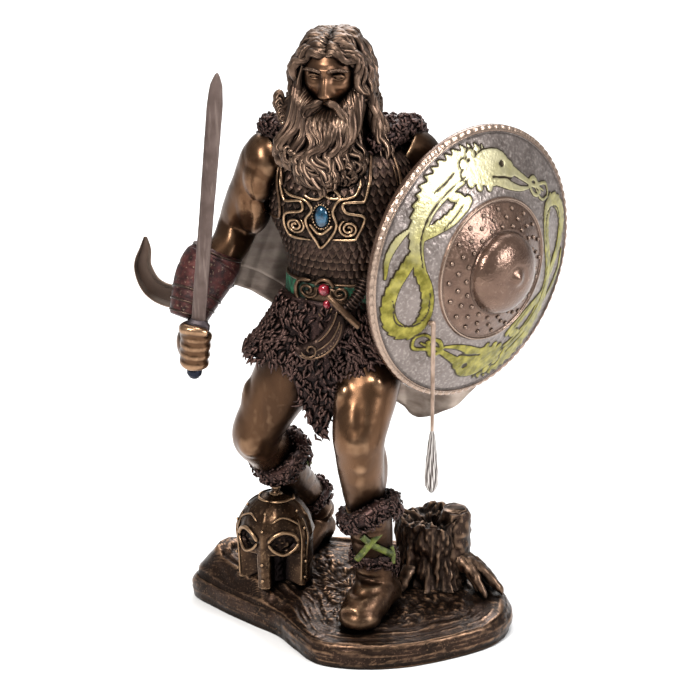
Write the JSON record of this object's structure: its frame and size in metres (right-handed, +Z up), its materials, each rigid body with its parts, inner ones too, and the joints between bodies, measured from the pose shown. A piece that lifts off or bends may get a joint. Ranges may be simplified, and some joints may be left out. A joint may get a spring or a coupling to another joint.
{
  "type": "viking warrior statue",
  "caption": "Cold-cast bronze figurine of a bearded viking warrior striding on a rocky base, with a raised sword, a round shield, a tassel, a helmet and a tree stump.",
  "frame": {"origin": "on the flat underside of the base, below the figure's trunk", "axes": "+Z up; the figure strides toward -Y; +X is the figure's left, where the shield is"},
  "size_m": [0.1889, 0.1013, 0.276],
  "materials": {
    "bronze": "dark-patinated cold-cast bronze, rubbed bright on the raised forms",
    "dull_steel": "matte grey-brown painted metal",
    "silver_bronze": "hammered silvery bronze with yellow-green painted beasts",
    "tassel_bronze": "bronze rod with a greyed tuft"
  },
  "bodies": {
    "root": {"warrior": "bronze", "sword": "dull_steel", "shield": "silver_bronze", "tassel": "tassel_bronze"}
  },
  "joints": []
}
